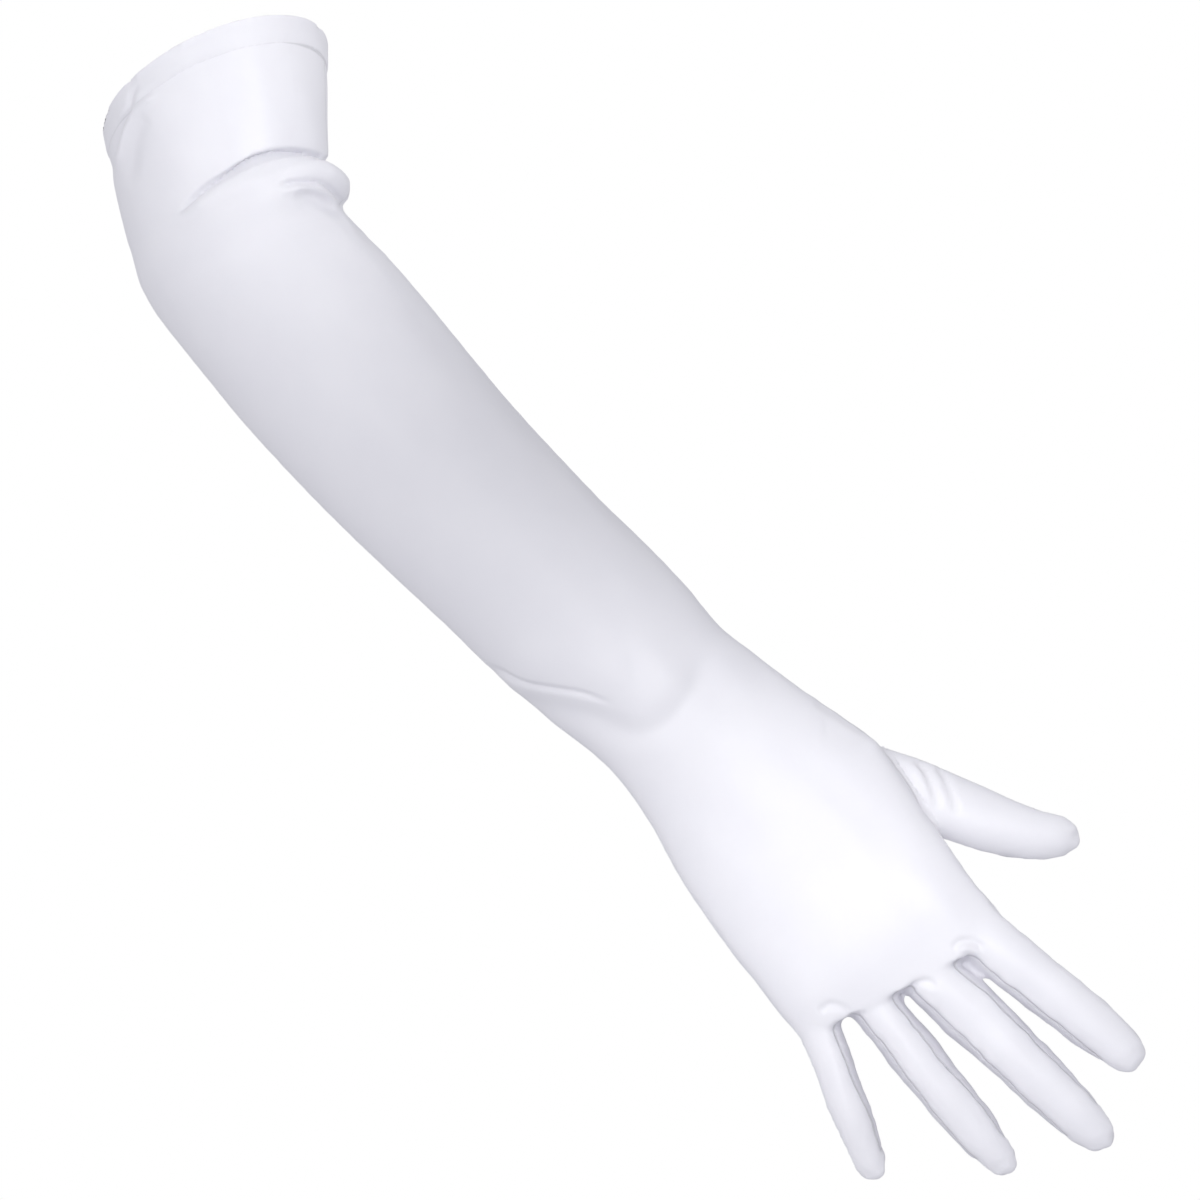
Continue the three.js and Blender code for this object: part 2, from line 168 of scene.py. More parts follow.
# The glove's form
# The sleeve with the hand, each finger and the thumb are closed tubes: grids rolled up on rings of
# points. The tubes are fused into one even skin, which gets its folds in the next section.
ELBOW_LENGTH = 94 * MM
FOREARM_LENGTH = 154 * MM
PALM_LENGTH = 130 * MM
SLEEVE_WIDTH, SLEEVE_DEPTH = 73 * MM, 66 * MM
WRIST_WIDTH, WRIST_DEPTH = 61 * MM, 42 * MM
PALM_WIDTH, PALM_DEPTH = 81 * MM, 30 * MM
THUMB_LENGTH, THUMB_WIDTH, THUMB_DEPTH = 85.5 * MM, 19 * MM, 18 * MM
BOW_DEPTH = 76 * MM
LINE_SLOPE = np.radians(46)
CROOK_ANGLE = np.radians(42)
CROOK_FALLOFF = 1.5
SLEEVE_SIDES, FINGER_SIDES = 140, 56
RING_STEP = 1.5 * MM
TIP_CROWDING = 1.4
JOIN_REACH = 0.01 * MM
EXTRA_LENGTH = 5 * MM
SKIN_STEP = 1.4 * MM
SKIN_ROUNDS = 6
EVEN_STEPS = (0.5, -0.53)

ALONG = np.array([np.cos(LINE_SLOPE), 0, -np.sin(LINE_SLOPE)])
SIDE = np.array([np.sin(LINE_SLOPE), 0, np.cos(LINE_SLOPE)])
FRONT = np.array([0, -1, 0])

PARTS = {
    # start along the glove's line, length, width, depth
    "elbow": (-ELBOW_LENGTH, ELBOW_LENGTH, SLEEVE_WIDTH, SLEEVE_DEPTH),
    "forearm": (0, FOREARM_LENGTH, SLEEVE_WIDTH, SLEEVE_DEPTH),
    "wrist": (FOREARM_LENGTH, PALM_LENGTH, WRIST_WIDTH, WRIST_DEPTH),
    "palm": (FOREARM_LENGTH, PALM_LENGTH, PALM_WIDTH, PALM_DEPTH),
}
SECTIONS = [
    # part, at, side, wide, deep, turn in degrees, lift, fold, square
    ("elbow", 0, 0.433, 1.116, 1.2, 18, 0.45, 0, 2),
    ("elbow", 0.168, 0.26, 1.06, 1.15, 20, 0.38, 0, 2),
    ("elbow", 0.31, 0.13, 1.02, 1.1, 20, 0.29, 0.01, 2),
    ("elbow", 0.355, 0.098, 1.012, 1.08, 20, 0.27, 0.05, 2),
    ("elbow", 0.4, 0.09, 1.05, 1.1, 19.5, 0.26, -0.01, 2),
    ("elbow", 0.46, 0.055, 1.062, 1.1, 18.5, 0.24, 0, 2),
    ("elbow", 0.525, 0.003, 1.01, 1.07, 17, 0.2, 0.03, 2),
    ("elbow", 0.58, -0.008, 1.01, 1.06, 16, 0.17, 0.005, 2),
    ("elbow", 0.79, -0.03, 1.005, 1.03, 9.5, 0.07, 0, 2),
    ("forearm", 0, -0.049, 1.003, 1, 3, 0, 0, 2),
    ("forearm", 0.2, -0.068, 0.974, 0.98, 0, 0, 0, 2),
    ("forearm", 0.41, -0.073, 0.936, 0.93, 0, 0, 0, 2),
    ("forearm", 0.6, -0.067, 0.915, 0.87, 0, 0, 0, 2),
    ("forearm", 0.74, -0.057, 0.912, 0.81, 0, 0, 0, 2),
    ("forearm", 0.89, -0.045, 0.879, 0.73, 0, 0, 0, 2),
    ("wrist", 0, -0.044, 0.995, 1, 0, 0, 0, 2),
    ("wrist", 0.103, -0.025, 1.015, 0.94, 0, 0, 0, 2.05),
    ("palm", 0.245, -0.016, 0.834, 1.18, 0, 0, 0, 2.1),
    ("palm", 0.4, -0.025, 0.955, 1.08, 0, 0, 0, 2.2),
    ("palm", 0.49, -0.027, 1.005, 1.03, 0, 0, 0, 2.3),
    ("palm", 0.63, -0.06, 1, 1, 0, 0, 0, 2.4),
    ("palm", 0.75, -0.085, 0.978, 0.93, 4, 0, 0, 2.6),
    ("palm", 0.88, -0.116, 0.967, 0.8, 10, 0, 0, 2.8),
    ("palm", 1, -0.128, 0.975, 0.58, 16, 0, 0, 2.8),
]
FINGERS = {
    # length, width, depth, root and side as shares of the palm, lean in degrees
    "index": (83 * MM, 18.6 * MM, 16.5 * MM, 0.927, 0.213, 6.8),
    "middle": (98 * MM, 20 * MM, 17.5 * MM, 0.902, -0.043, 2.6),
    "ring": (85.5 * MM, 16.8 * MM, 16 * MM, 0.876, -0.275, -4.5),
    "little": (67.5 * MM, 14.2 * MM, 13.5 * MM, 0.825, -0.45, -23),
}
FINGER_FORM = [
    # at, wide, deep
    (0, 0.86, 0.72),
    (0.16, 1, 0.95),
    (0.45, 1, 1),
    (0.7, 0.94, 0.94),
    (0.86, 0.82, 0.82),
    (0.94, 0.68, 0.68),
    (0.985, 0.44, 0.44),
    (1, 0.16, 0.16),
]
THUMB_ROOT = (0.46, 0.315)
THUMB_FORM = [
    # at, lean in degrees, distance behind the palm's middle, wide, deep
    (0, 20, 0.12, 0.8, 0.62),
    (0.14, 22, 0.2, 1.08, 0.92),
    (0.32, 24, 0.32, 1.16, 1),
    (0.5, 24, 0.42, 1.14, 1),
    (0.68, 26, 0.5, 1.03, 0.96),
    (0.82, 38, 0.56, 0.9, 0.86),
    (0.93, 46, 0.6, 0.7, 0.68),
    (0.98, 46, 0.62, 0.46, 0.44),
    (1, 46, 0.62, 0.16, 0.16),
]
BOW = [
    # part, at, how far the glove bows towards the camera
    ("elbow", 0, 0),
    ("elbow", 0.35, 0.145),
    ("elbow", 0.68, 0.23),
    ("forearm", 0, 0.285),
    ("forearm", 0.5, 0.425),
    ("forearm", 0.95, 0.56),
    ("palm", 0.3, 0.705),
    ("palm", 0.7, 0.89),
    ("palm", 1, 0.985),
    ("palm", 1.3, 1),
    ("palm", 1.9, 0.97),
]


def smooth(at, values, places):
    """A column of a table at any places, on a smooth curve through all its rows."""
    last = len(at) - 1
    before = np.maximum(np.arange(last + 1) - 1, 0)
    after = np.minimum(np.arange(last + 1) + 1, last)
    slope = (values[after] - values[before]) / (at[after] - at[before])
    low = np.clip(np.searchsorted(at, places, "right") - 1, 0, last - 1)
    step = at[low + 1] - at[low]
    share = (places - at[low]) / step
    t = np.clip(share, 0, 1)
    rise = (3 - 2 * t) * t * t
    curve = values[low] * (1 - rise) + values[low + 1] * rise
    curve += slope[low] * step * t * (1 - t) ** 2 + slope[low + 1] * step * t * t * (t - 1)
    past = slope[low] * np.minimum(share, 0) + slope[low + 1] * np.maximum(share - 1, 0)
    return curve + step * past


def rings_of(middles, across, front, half_wide, half_deep, sides, square=2.0, fold=0.0):
    """Rings of points round a line of middles: ellipses, or fuller where square is over 2."""
    angle = np.linspace(0, 2 * np.pi, sides, endpoint=False)
    power = np.reshape(2 / np.asarray(square, float), (-1, 1))
    crook = ((1 + np.cos(angle - CROOK_ANGLE)) / 2) ** CROOK_FALLOFF
    drawn = 1 - np.reshape(fold, (-1, 1)) * crook
    x = np.sign(np.cos(angle)) * np.abs(np.cos(angle)) ** power * half_wide[:, None] * drawn
    y = np.sign(np.sin(angle)) * np.abs(np.sin(angle)) ** power * half_deep[:, None] * drawn
    return middles[:, None] + across[:, None] * x[..., None] + front[:, None] * y[..., None]


def unit_lines(lean):
    """The direction of a line that leans out by an angle, and the direction across it."""
    along = np.cos(lean)[:, None] * ALONG + np.sin(lean)[:, None] * SIDE
    across = np.cos(lean)[:, None] * SIDE - np.sin(lean)[:, None] * ALONG
    return along, across


rows = np.array([row[1:] for row in SECTIONS])
part_of = np.array([PARTS[row[0]] for row in SECTIONS])
sleeve_at = part_of[:, 0] + rows[:, 0] * part_of[:, 1]
RIM_MIDDLE = ALONG * sleeve_at[0] + SIDE * rows[0, 1] * SLEEVE_WIDTH


def sleeve_frames(places):
    """Middles, directions and half sizes of sleeve and hand at places along the glove's line."""
    side = smooth(sleeve_at, rows[:, 1] * part_of[:, 2], places)
    half_wide = smooth(sleeve_at, rows[:, 2] * part_of[:, 2] / 2, places)
    half_deep = smooth(sleeve_at, rows[:, 3] * part_of[:, 3] / 2, places)
    turn = np.radians(smooth(sleeve_at, rows[:, 4], places))
    lift, fold, square = (smooth(sleeve_at, rows[:, k], places) for k in (5, 6, 7))
    normal, across = unit_lines(-turn)
    front = FRONT - normal * lift[:, None]
    middles = places[:, None] * ALONG + side[:, None] * SIDE - RIM_MIDDLE
    return middles, across, front, half_wide, half_deep, square, fold


def sleeve_rings(start, end, sides, grow=0.0):
    places = np.linspace(start, end, int((end - start) / RING_STEP))
    middles, across, front, half_wide, half_deep, square, fold = sleeve_frames(places)
    return rings_of(middles, across, front, half_wide + grow, half_deep + grow, sides, square, fold)


def finger_line(name):
    """A finger's root, its direction and the direction across it."""
    length, width, depth, root, side, lean = FINGERS[name]
    start = ALONG * (FOREARM_LENGTH + root * PALM_LENGTH) + SIDE * side * PALM_WIDTH - RIM_MIDDLE
    along, across = unit_lines(np.radians([lean]))
    return start, along[0], across[0]


def finger_rings(name):
    length, width, depth = FINGERS[name][:3]
    start, along, across = finger_line(name)
    form = np.array(FINGER_FORM)
    share = np.sin(np.linspace(0, np.pi / 2, int(TIP_CROWDING * length / RING_STEP)))
    middles = start + along * (share * length)[:, None]
    half_wide = smooth(form[:, 0], form[:, 1], share) * width / 2
    half_deep = smooth(form[:, 0], form[:, 2], share) * depth / 2
    flat = np.tile(across, (len(share), 1)), np.tile(FRONT, (len(share), 1))
    return rings_of(middles, *flat, half_wide, half_deep, FINGER_SIDES)


def thumb_frames(share):
    """The thumb's middles and directions at shares of its length. Its line leans out more and more."""
    form = np.array(THUMB_FORM)
    lean = np.radians((form[:, 1] + np.roll(form[:, 1], 1)) / 2)
    lean[0] = np.radians(form[0, 1])
    steps = np.diff(form[:, 0], prepend=0) * THUMB_LENGTH
    start = ALONG * (FOREARM_LENGTH + THUMB_ROOT[0] * PALM_LENGTH) + SIDE * THUMB_ROOT[1] * PALM_WIDTH
    corners = start - RIM_MIDDLE + np.cumsum(unit_lines(lean)[0] * steps[:, None], axis=0)
    corners -= FRONT * (form[:, 2] * PALM_DEPTH)[:, None]
    middles = np.array([smooth(form[:, 0], corners[:, k], share) for k in range(3)]).T
    along, across = unit_lines(smooth(form[:, 0], lean, share))
    half_wide = smooth(form[:, 0], form[:, 3], share) * THUMB_WIDTH / 2
    half_deep = smooth(form[:, 0], form[:, 4], share) * THUMB_DEPTH / 2
    return middles, along, across, half_wide, half_deep


def thumb_rings():
    share = np.sin(np.linspace(0, np.pi / 2, int(TIP_CROWDING * THUMB_LENGTH / RING_STEP)))
    middles, along, across, half_wide, half_deep = thumb_frames(share)
    front = np.tile(FRONT, (len(share), 1))
    return rings_of(middles, across, front, half_wide, half_deep, FINGER_SIDES)


def only(piece):
    """Leaves one object selected and active."""
    bpy.ops.object.select_all(action="DESELECT")
    piece.select_set(True)
    bpy.context.view_layer.objects.active = piece


def tube(name, rings):
    """A grid rolled up on rings of points, with its edges joined and both ends closed."""
    count, sides = rings.shape[:2]
    bpy.ops.mesh.primitive_grid_add(x_subdivisions=sides, y_subdivisions=count - 1, size=1)
    piece = bpy.context.object
    piece.name = name
    rolled = np.concatenate([rings, rings[:, :1]], axis=1)
    piece.data.vertices.foreach_set("co", rolled.astype(np.float32).ravel())
    bpy.ops.object.mode_set(mode="EDIT")
    bpy.ops.mesh.select_all(action="SELECT")
    bpy.ops.mesh.remove_doubles(threshold=JOIN_REACH)
    bpy.ops.mesh.fill_holes(sides=0)
    bpy.ops.mesh.select_all(action="SELECT")
    bpy.ops.mesh.normals_make_consistent(inside=False)
    bpy.ops.object.mode_set(mode="OBJECT")
    return piece


def apply_modifier(piece, kind, **settings):
    """Adds a modifier to a piece and applies it."""
    only(piece)
    modifier = piece.modifiers.new(kind.lower(), kind)
    for key, value in settings.items():
        setattr(modifier, key, value)
    bpy.ops.object.modifier_apply(modifier=modifier.name)


def points_of(piece):
    points = np.empty(3 * len(piece.data.vertices), np.float32)
    piece.data.vertices.foreach_get("co", points)
    return points.reshape(-1, 3).astype(float)


def normals_of(piece):
    normals = np.empty(3 * len(piece.data.vertices), np.float32)
    piece.data.vertex_normals.foreach_get("vector", normals)
    return normals.reshape(-1, 3).astype(float)


def move_points(piece, points):
    piece.data.vertices.foreach_set("co", points.astype(np.float32).ravel())
    piece.data.update()


def neighbours_of(piece):
    edges = np.empty(2 * len(piece.data.edges), np.int32)
    piece.data.edges.foreach_get("vertices", edges)
    edges = edges.reshape(-1, 2)
    return np.concatenate([edges, edges[:, ::-1]])


def relaxed(values, pairs, rounds):
    """Values evened out with those of their neighbours, and pushed back each time so that none shrink."""
    count = np.bincount(pairs[:, 0], minlength=len(values))
    for _ in range(rounds):
        for step in EVEN_STEPS:
            total = [np.bincount(pairs[:, 0], column[pairs[:, 1]], len(values)) for column in values.T]
            values = values + step * (np.array(total).T / count[:, None] - values)
    return values


sleeve_end = sleeve_at[-1]
tubes = [tube("sleeve", sleeve_rings(sleeve_at[0] - EXTRA_LENGTH, sleeve_end, SLEEVE_SIDES))]
tubes += [tube(name, finger_rings(name)) for name in FINGERS]
tubes.append(tube("thumb", thumb_rings()))
only(tubes[0])
for piece in tubes:
    piece.select_set(True)
bpy.ops.object.join()
form = bpy.context.object
apply_modifier(form, "REMESH", mode="VOXEL", voxel_size=SKIN_STEP)
pairs = neighbours_of(form)
skin = relaxed(points_of(form), pairs, SKIN_ROUNDS)

# The folds
# Where the glove bends, the satin creases across the crook of the elbow and at the wrist, and it
# gathers at the thumb and between the fingers. Each fold is a line in the front view, in millimetres.
ELBOW_CREASE = [
    (-12.6, -43.2), (-4.5, -36.2), (2.8, -31.2), (14.9, -24.1), (29, -22.4), (42, -27), (52, -35),
]
SECOND_CREASE = [(22, -33.6), (29, -32.2), (35, -32.5), (39, -34.5), (44, -39.5), (50, -48)]
THIRD_CREASE = [(27, -36.5), (35.7, -38.4), (44, -41.5), (50, -46.5), (58, -55)]
RIM_FOLD = [(-25, 1), (-27, -2.3), (-28.6, -7.7), (-32, -15), (-34.7, -25), (-36, -34)]
RIM_RIDGE = [(-19, -2), (-21.3, -4), (-26.3, -7.7), (-29.6, -13.4), (-32, -21.8), (-33.7, -30)]
WRIST_CREASE = [(91, -194), (96, -196.8), (103, -199.4), (112, -201.2), (124, -203.5), (134, -207)]
WRIST_EDGE = [(96, -203), (127, -210), (141, -215), (152, -211), (160, -200), (167, -184)]
INDEX_ARCH = [(247, -289), (249.5, -286.6), (253.5, -286.4), (258, -289)]
RING_ARCH = [(232, -304), (234.5, -300.5), (238.5, -299.6), (242.5, -302)]
LITTLE_ARCH = [(202.5, -310), (206, -307.5), (210.5, -308.6), (214, -312)]
INNER_CREASE = [(-2, -38), (12, -33), (28, -31), (45, -36)]
INNER_WRIST = [(118, -212), (135, -203), (152, -190)]
FOLDS = [
    # side it shows on, depth (out is more than 0), width, shift to the right of the line, its points
    ("back", -3.2, 0.9, 0, ELBOW_CREASE),
    ("back", 2.1, 2.9, 3.2, ELBOW_CREASE),
    ("back", -1.7, 0.9, 0, SECOND_CREASE),
    ("back", 1.0, 1.4, 2.2, SECOND_CREASE),
    ("back", -2.0, 2.4, 0, THIRD_CREASE),
    ("back", -1.2, 1.0, 0, RIM_FOLD),
    ("back", 1.2, 1.3, 0, RIM_RIDGE),
    ("back", -1.0, 2.6, 0, [(-22, -10), (-26, -16), (-27.5, -24), (-29, -34)]),
    ("back", -1.2, 1.1, 0, WRIST_CREASE),
    ("back", 1.7, 10, -10, WRIST_EDGE),
    ("back", -1.3, 4.5, 2, WRIST_EDGE),
    ("back", -0.6, 1.6, 0, [(201, -206), (208, -210), (215, -214.5), (221, -218.5)]),
    ("back", -0.7, 4.5, 0, [(203, -216), (212, -217), (221, -222)]),
    ("back", -1.0, 1.6, 0, [(228, -225), (232, -230), (237, -238), (240, -247)]),
    ("back", -1.2, 1.2, 0, [(235, -226), (238, -229), (240.5, -235), (243, -243)]),
    ("back", -1.1, 1.1, 0, [(242, -228), (244.5, -231), (247, -237), (249.5, -245)]),
    ("back", 0.6, 1.2, 2.2, [(235, -226), (238, -229), (240.5, -235), (243, -243)]),
    ("back", -0.9, 1.3, 0, INDEX_ARCH),
    ("back", 0.6, 1.3, 2.2, INDEX_ARCH),
    ("back", -0.9, 1.3, 0, RING_ARCH),
    ("back", -0.8, 1.4, 0, LITTLE_ARCH),
    ("palm", -1.8, 2.0, 0, INNER_CREASE),
    ("palm", 1.1, 4, 5, INNER_CREASE),
    ("palm", -1.4, 1.8, 0, [(12, -50), (28, -46), (50, -52)]),
    ("palm", -1.1, 1.7, 0, INNER_WRIST),
    ("palm", 0.8, 3, 4, INNER_WRIST),
    ("palm", -1.0, 1.7, 0, [(126, -224), (141, -215), (158, -200)]),
    ("palm", -1.1, 2.6, 0, [(186, -238), (196, -250), (212, -258), (226, -259)]),
    ("palm", -0.9, 2.0, 0, [(190, -275), (206, -270), (226, -271)]),
]
NARROW_FOLD = 1.7
FINE_BAND = 3.5
FINE_TIP = 15 * MM
FINE_ROUNDS, FOLD_ROUNDS = 3, 1
FOLD_STARTS, FOLD_FADES = 9, 5
TIP_PUCKER, TIP_REACH, TIP_WAVES = 0.2 * MM, 8 * MM, (4.5 * MM, 8 * MM)
FINGER_WAVE, FINGER_WAVES = 0.22 * MM, (14 * MM, 26 * MM)
FINGERS_FROM, FINGERS_BLEND = 262 * MM, 25 * MM
RIPPLES = 14
RIPPLE_HEIGHT = 0.16 * MM
RIPPLE_WIDTHS, RIPPLE_LENGTHS = (14, 40), (50, 140)
RIPPLE_SLANT = 2.2


def line_distance(x, z, line):
    """Distance of points from a line in the front view, more than 0 on its right, and share along it."""
    best = np.full(len(x), 1e9)
    signed, share = np.zeros(len(x)), np.zeros(len(x))
    lengths = [np.hypot(*np.subtract(b, a)) for a, b in zip(line, line[1:])]
    for k, (a, b) in enumerate(zip(line, line[1:])):
        step = np.subtract(b, a) / lengths[k]
        run = np.clip((x - a[0]) * step[0] + (z - a[1]) * step[1], 0, lengths[k])
        off_x, off_z = x - a[0] - run * step[0], z - a[1] - run * step[1]
        away = np.hypot(off_x, off_z)
        near = away < best
        best = np.where(near, away, best)
        signed = np.where(near, np.sign(off_x * step[1] - off_z * step[0]) * away, signed)
        share = np.where(near, (sum(lengths[:k]) + run) / sum(lengths), share)
    return signed, share


def curve_of(line):
    """A smooth curve through a fold's points."""
    marks = np.array(line, float) * MM
    knots = np.linspace(0, 1, len(marks))
    dense = np.linspace(0, 1, 6 * len(marks))
    return np.array([smooth(knots, marks[:, k], dense) for k in (0, 1)]).T


def fold_heights(points, normals):
    """How far each point of the skin moves out for all the folds, on the side that they show on."""
    height = np.zeros(len(points))
    for shown, deep, width, shift, line in FOLDS:
        signed, share = line_distance(points[:, 0], points[:, 2], curve_of(line))
        turned = np.clip(0.5 - normals[:, 1] * (1 if shown == "back" else -1), 0, 1)
        ends = np.clip(FOLD_STARTS * share, 0, 1) * np.clip(FOLD_FADES * (1 - share), 0, 1)
        bell = np.exp(-(((signed - shift * MM) / (width * MM)) ** 2))
        height += deep * MM * bell * ends * turned * turned * (3 - 2 * turned)
    return height


def waves(points, shortest, longest, seed, count=12):
    """Evened-out random waves of height about 1."""
    random = np.random.default_rng(seed)
    height = np.zeros(len(points))
    for _ in range(count):
        direction = random.normal(size=3)
        direction /= np.linalg.norm(direction) * random.uniform(shortest, longest)
        height += np.sin(2 * np.pi * (points @ direction + random.uniform()))
    return height * (2 / count) ** 0.5


def ripples(points):
    """A faint unevenness, drawn out along the glove as stretched cloth is."""
    random = np.random.default_rng(11)
    along, side = points @ ALONG, points @ SIDE
    height = np.zeros(len(points))
    for _ in range(RIPPLES):
        across_wave = random.uniform(*RIPPLE_WIDTHS) * MM
        along_wave = random.uniform(*RIPPLE_LENGTHS) * MM
        turn = random.uniform(0, 2 * np.pi)
        wave = side / across_wave + along / along_wave * random.choice([-1, 1])
        height += np.sin(2 * np.pi * (wave + points[:, 1] / (RIPPLE_SLANT * across_wave)) + turn)
    return height * RIPPLE_HEIGHT / RIPPLES**0.5


def tips_away(points):
    """Distance of points from the nearest tip of a finger or the thumb."""
    tips = [finger_line(name)[0] + finger_line(name)[1] * FINGERS[name][0] for name in FINGERS]
    tips.append(thumb_frames(np.array([1.0]))[0][0])
    return np.min([np.linalg.norm(points - tip, axis=1) for tip in tips], axis=0)


def finger_puckers(points):
    """Waves on the fingers and puckers at their tips, where the cloth is gathered into the seam."""
    on_fingers = np.clip((points @ ALONG + sleeve_at[0] - FINGERS_FROM) / FINGERS_BLEND, 0, 1)
    near_tip = np.exp(-((tips_away(points) / TIP_REACH) ** 4))
    height = FINGER_WAVE * on_fingers * waves(points, *FINGER_WAVES, seed=3)
    return height + TIP_PUCKER * near_tip * waves(points, *TIP_WAVES, seed=4)


def select_faces(piece, flags):
    """Selects just the flagged faces of a piece, which is active."""
    mesh = piece.data
    bpy.ops.object.mode_set(mode="EDIT")
    bpy.ops.mesh.select_mode(type="FACE")
    bpy.ops.mesh.select_all(action="DESELECT")
    bpy.ops.object.mode_set(mode="OBJECT")
    mesh.polygons.foreach_set("select", np.asarray(flags, bool))


def centers_of(piece):
    centers = np.empty(3 * len(piece.data.polygons), np.float32)
    piece.data.polygons.foreach_get("center", centers)
    return centers.reshape(-1, 3).astype(float)


# The skin is made finer along the narrow folds and at the tips, before they are pressed in.
move_points(form, skin)
only(form)
centers = centers_of(form)
fine = tips_away(centers) < FINE_TIP
for shown, deep, width, shift, line in FOLDS:
    if width < NARROW_FOLD:
        away = np.abs(line_distance(centers[:, 0], centers[:, 2], curve_of(line))[0])
        facing = centers[:, 1] < 0 if shown == "back" else centers[:, 1] > 0
        fine |= (away < FINE_BAND * width * MM) & facing
select_faces(form, fine)
bpy.ops.object.mode_set(mode="EDIT")
bpy.ops.mesh.subdivide(number_cuts=1)
bpy.ops.object.mode_set(mode="OBJECT")
pairs = neighbours_of(form)
skin = relaxed(points_of(form), pairs, FINE_ROUNDS)
move_points(form, skin)
normals = normals_of(form)
raised = fold_heights(skin, normals) + ripples(skin) + finger_puckers(skin)
move_points(form, relaxed(skin + normals * raised[:, None], pairs, FOLD_ROUNDS))

# Cutting the pieces
# The glove is cut as a back and a palm panel, a strip for the inner sides of each two fingers, a thumb
# of two pieces and a band that is turned in round the opening. Here the skin is cut along their seams.
STRIP_WIDTH = 8.5 * MM
STRIP_FORWARD = 0.8 * MM
STRIP_REACH = 0.87
HEM_LENGTH = 8 * MM
THUMB_SEAM_OUT = 2 * MM
THUMB_ROOM = [-0.05, 0.3, 0.6, 0.8, 1.0, 1.1]
THUMB_ROOM_REACH, THUMB_ROOM_SIDES, THUMB_ROOM_SQUARE = 1.6 * THUMB_WIDTH, 24, 6.0
PALM_ROOM_START, PALM_ROOM_PAST, PALM_ROOM_SIDES = 0.02, 4 * MM, 96
THUMB_CUT_START, THUMB_CUT_END, THUMB_CUT_RINGS = -0.1, 1.2, 14
STRIP_FORM = [
    # at, reach from the finger's middle, width
    (0, 0.75, 1),
    (0.3, 0.75, 1),
    (0.55, 0.6, 0.95),
    (0.8, 0.55, 0.7),
    (1, 0.55, 0.3),
]
cutting = bpy.data.materials.new("cut face")


def copy_of(piece, name):
    only(piece)
    bpy.ops.object.duplicate()
    made = bpy.context.object
    made.name = name
    return made


def parted(piece, room, name):
    """Cuts what lies in a room out of a piece, and gives it back as a piece of its own."""
    inside = copy_of(piece, name)
    apply_modifier(inside, "BOOLEAN", operation="INTERSECT", object=room, solver="MANIFOLD")
    apply_modifier(piece, "BOOLEAN", operation="DIFFERENCE", object=room, solver="MANIFOLD")
    return inside


def drop(piece):
    only(piece)
    bpy.ops.object.delete()


def room_of(name, rings):
    """A closed tube to cut with, whose faces can be told from the skin's by their material."""
    made = tube(name, rings)
    made.data.materials.append(cutting)
    return made


def strip_rings(name, way):
    """The room of a strip along one side of a finger."""
    start, along, across = finger_line(name)
    length, width = FINGERS[name][:2]
    rings = []
    for at, reach, wide in STRIP_FORM:
        half = wide * STRIP_WIDTH / 2
        spot = start + along * at * STRIP_REACH * length
        ends = (0, reach * width) if way > 0 else (-reach * width, 0)
        corners = [(ends[1], -half), (ends[1], half), (ends[0], half), (ends[0], -half)]
        rings.append([spot + across * x + FRONT * (STRIP_FORWARD + y) for x, y in corners])
    return np.array(rings)


form.data.materials.clear()
form.data.materials.append(bpy.data.materials.new("skin"))
skin_copy = copy_of(form, "uncut skin")
middles, along, across, half_wide, half_deep = thumb_frames(np.array(THUMB_ROOM))
front = np.tile(FRONT, (len(middles), 1))
outer = np.full(len(middles), THUMB_ROOM_REACH)
rings = rings_of(middles, across, front, outer, outer, THUMB_ROOM_SIDES, THUMB_ROOM_SQUARE)
thumb_room = room_of("thumb room", rings)
palm_start, palm_end = FOREARM_LENGTH + PALM_ROOM_START * PALM_LENGTH, sleeve_end + PALM_ROOM_PAST
palm_room = room_of("palm room", sleeve_rings(palm_start, palm_end, PALM_ROOM_SIDES, THUMB_SEAM_OUT))
apply_modifier(thumb_room, "BOOLEAN", operation="DIFFERENCE", object=palm_room, solver="MANIFOLD")
thumb = parted(form, thumb_room, "thumb")
drop(thumb_room)
drop(palm_room)

share = np.linspace(THUMB_CUT_START, THUMB_CUT_END, THUMB_CUT_RINGS)
middles, along, across, half_wide, half_deep = thumb_frames(share)
reach, height = THUMB_WIDTH, 2 * THUMB_DEPTH
corners = [(reach, 0), (reach, height), (-reach, height), (-reach, 0)]
front_rings = np.array([[m + a * x + FRONT * y for x, y in corners] for m, a in zip(middles, across)])
front_room = room_of("thumb front room", front_rings)
thumb_back = parted(thumb, front_room, "thumb_back_satin")
thumb.name = "thumb_palm_satin"
drop(front_room)

PAIRS = [("index", "middle"), ("middle", "ring"), ("ring", "little")]
strips = []
for upper, lower in PAIRS:
    room = room_of("strip room", strip_rings(upper, -1))
    other = room_of("other strip room", strip_rings(lower, 1))
    apply_modifier(room, "BOOLEAN", operation="UNION", object=other, solver="MANIFOLD")
    strips.append(parted(form, room, f"fourchette_{upper}_{lower}_satin"))
    drop(room)
    drop(other)


def without_cut_faces(piece):
    """Leaves only the skin of a piece: the faces that a cut made are deleted."""
    only(piece)
    mesh = piece.data
    for slot, material in enumerate(mesh.materials):
        if material == cutting:
            cut_slot = slot
            break
    else:
        return
    flags = [polygon.material_index == cut_slot for polygon in mesh.polygons]
    select_faces(piece, flags)
    bpy.ops.object.mode_set(mode="EDIT")
    bpy.ops.mesh.delete(type="FACE")
    bpy.ops.object.mode_set(mode="OBJECT")


